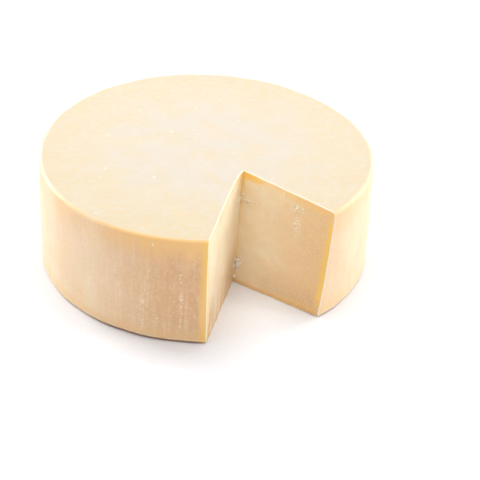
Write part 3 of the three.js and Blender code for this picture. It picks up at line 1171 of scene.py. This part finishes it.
def paste_material(colours):
    """Cut paste: the pale inside of an aged hard cheese, opened by a knife. It is dense and
    finely grained, with a few chalky crystals, and golden next to the rind, where it has dried.
    Where it tore it is whiter and dull, with pits whose brown is painted shade. Painted shade:
    darker towards the base and low on the left face, golden in the crease along the apex line, in
    the left face's furrows and towards the right face's rim. Painted light: paler near the apex
    line and over the left face, on its ridges, along the edges under the rind, and a weaker gold
    band on the left face."""
    material, tree, shader = new_material("cut_paste", 0.45)
    place, shares = wheel_place(tree, PASTE_STORED)
    shares["across"] = add_node(tree, "ShaderNodeSeparateXYZ", {"Vector": place}).outputs["X"]
    inputs = {"Vector": place, "Rotation": (0, 0, KNIFE_LEAN)}
    leaning = add_node(tree, "ShaderNodeMapping", inputs).outputs["Vector"]
    shares |= patterned(tree, place, PASTE_PATTERNS)
    shares |= patterned(tree, leaning, KNIFE_PATTERNS)
    shares |= banded(tree, shares, PASTE_BANDS)
    lay_colours(tree, shader, colours, shares, "paste", PASTE_LAYERS)
    raise_surface(tree, shader, shares, PASTE_RELIEFS)
    soft_inside(shader, 0.4)
    return material


def crumb_material(colours):
    """Dry crumb: paste that broke off and dried. It is dull and whiter than the paste, and
    whitest low in the notch, partly their own colour and partly painted light against the notch's
    shade."""
    material, tree, shader = new_material("dry_crumb", 0.6)
    place, height = object_place(tree)
    shares = patterned(tree, place, {"tinted": ((3, 3), 0.45, 0.6, 1, 1, 0)})
    # chalky: whiter low in the notch, partly painted light against its shade
    shares |= banded(tree, {"height": height}, {"chalky": ("height", 70 * MM, 40 * MM, 1)})
    layers = (("paste", "tinted"), ("chalk", "chalky"))
    lay_colours(tree, shader, colours, shares, "paste_pale", layers)
    return material


def bloom_material(colours):
    """Dried bloom: thin white flakes of salts that came out through the rind, matt as chalk."""
    material, tree, shader = new_material("dried_bloom", 0.75)
    place = object_place(tree)[0]
    shares = patterned(tree, place, {"worn": ((5, 5), 0.35, 0.65, 2, 0.8, 0)})
    lay_colours(tree, shader, colours, shares, "chalk_warm", (("paste", "worn"),))
    return material


def floor_material(colours):
    """Matt card, painted white: it gives a soft white ground with no reflection."""
    material, tree, shader = new_material("floor_card", 0.9)
    place = object_place(tree)[0]
    shares = patterned(tree, place, {"fibre": ((3, 3), 0.3, 0.7, 2, 1, 0)})
    lay_colours(tree, shader, colours, shares, "floor", (("floor_fibre", "fibre"),))
    return material


class CHEESE_OT_wheel(bpy.types.Operator):
    """Makes the cut wheel"""

    bl_idname = "cheese.wheel"
    bl_label = "Cheese wheel"

    def execute(self, context):
        scene = context.scene
        materials = (rind_material(scene.cheese_colours), paste_material(scene.cheese_colours))
        piece = finish_piece("wheel", wheel_mesh(scene.cheese_wheel), materials)
        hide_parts(NODE)
        return {"FINISHED"}


class CHEESE_OT_crumbs(bpy.types.Operator):
    """Makes the crumbs on the cut faces"""

    bl_idname = "cheese.crumbs"
    bl_label = "Crumbs"

    def execute(self, context):
        scene = context.scene
        bm = crumbs_mesh(scene.cheese_wheel, scene.cheese_crumbs)
        finish_piece("crumbs", bm, (crumb_material(scene.cheese_colours),))
        return {"FINISHED"}


class CHEESE_OT_flecks(bpy.types.Operator):
    """Makes the flecks of bloom on the rind"""

    bl_idname = "cheese.flecks"
    bl_label = "Flecks of bloom"

    def execute(self, context):
        scene = context.scene
        bm = flecks_mesh(scene.cheese_wheel, scene.cheese_crumbs)
        finish_piece("flecks", bm, (bloom_material(scene.cheese_colours),))
        return {"FINISHED"}


def add_light(context, name, place, size, power):
    data = bpy.data.lights.new(name, "AREA")
    data.shape = "DISK"
    data.size = size
    data.energy = power
    lamp = bpy.data.objects.new(name, data)
    lamp.location = place
    lamp.rotation_euler = (LIT_PLACE - Vector(place)).to_track_quat("-Z", "Y").to_euler()
    context.collection.objects.link(lamp)


def add_camera(context, stage):
    """The camera, placed as the photo's was."""
    data = bpy.data.cameras.new("camera")
    data.lens = 90
    data.sensor_width = 36
    camera = bpy.data.objects.new("camera", data)
    tilt = Matrix.Rotation(math.pi / 2 - stage.elevation, 4, "X")
    roll = Matrix.Rotation(stage.roll, 4, "Z")
    camera.matrix_world = Matrix.Translation(CAMERA_PLACE) @ tilt @ roll
    context.collection.objects.link(camera)
    context.scene.camera = camera


class CHEESE_OT_stage(bpy.types.Operator):
    """Makes the floor, the lights and the camera"""

    bl_idname = "cheese.stage"
    bl_label = "Studio"

    def execute(self, context):
        stage = context.scene.cheese_stage
        bm = bmesh.new()
        bmesh.ops.create_grid(bm, x_segments=1, y_segments=1, size=stage.floor_size)
        add_object("floor", bm, (floor_material(context.scene.cheese_colours),))
        for name, (place, size) in LIGHTS.items():
            add_light(context, name, place, size, getattr(stage, name))
        world = bpy.data.worlds.new("white_room")
        world.use_nodes = True
        background = world.node_tree.nodes["Background"]
        background.inputs["Color"].default_value = (1, 1, 1, 1)
        background.inputs["Strength"].default_value = stage.room
        context.scene.world = world
        context.scene.view_settings.view_transform = "Standard"
        add_camera(context, stage)
        return {"FINISHED"}


class CHEESE_PT_panel(bpy.types.Panel):
    """Lists the pieces of the cut wheel with their settings"""

    bl_idname = "CHEESE_PT_panel"
    bl_label = "Cut cheese wheel"
    bl_space_type = "VIEW_3D"
    bl_region_type = "UI"
    bl_category = "Cheese"

    def draw(self, context):
        for operator in OPERATORS:
            self.layout.operator(operator.bl_idname)
        for name in SETTINGS:
            box = self.layout.box()
            settings = getattr(context.scene, name)
            for setting in settings.bl_rna.properties:
                if not setting.is_readonly and setting.identifier != "name":
                    box.prop(settings, setting.identifier)


SETTINGS = {
    "cheese_wheel": WheelSettings,
    "cheese_crumbs": CrumbSettings,
    "cheese_colours": ColourSettings,
    "cheese_stage": StageSettings,
}
OPERATORS = (CHEESE_OT_wheel, CHEESE_OT_crumbs, CHEESE_OT_flecks, CHEESE_OT_stage)
CLASSES = (*SETTINGS.values(), *OPERATORS, CHEESE_PT_panel)


def register():
    for each in CLASSES:
        bpy.utils.register_class(each)
    for name, group in SETTINGS.items():
        setattr(bpy.types.Scene, name, PointerProperty(type=group))


def unregister():
    for name in SETTINGS:
        delattr(bpy.types.Scene, name)
    for each in reversed(CLASSES):
        bpy.utils.unregister_class(each)


def main():
    register()
    bpy.ops.cheese.wheel()
    bpy.ops.cheese.crumbs()
    bpy.ops.cheese.flecks()
    bpy.ops.cheese.stage()


if __name__ == "__main__":
    main()
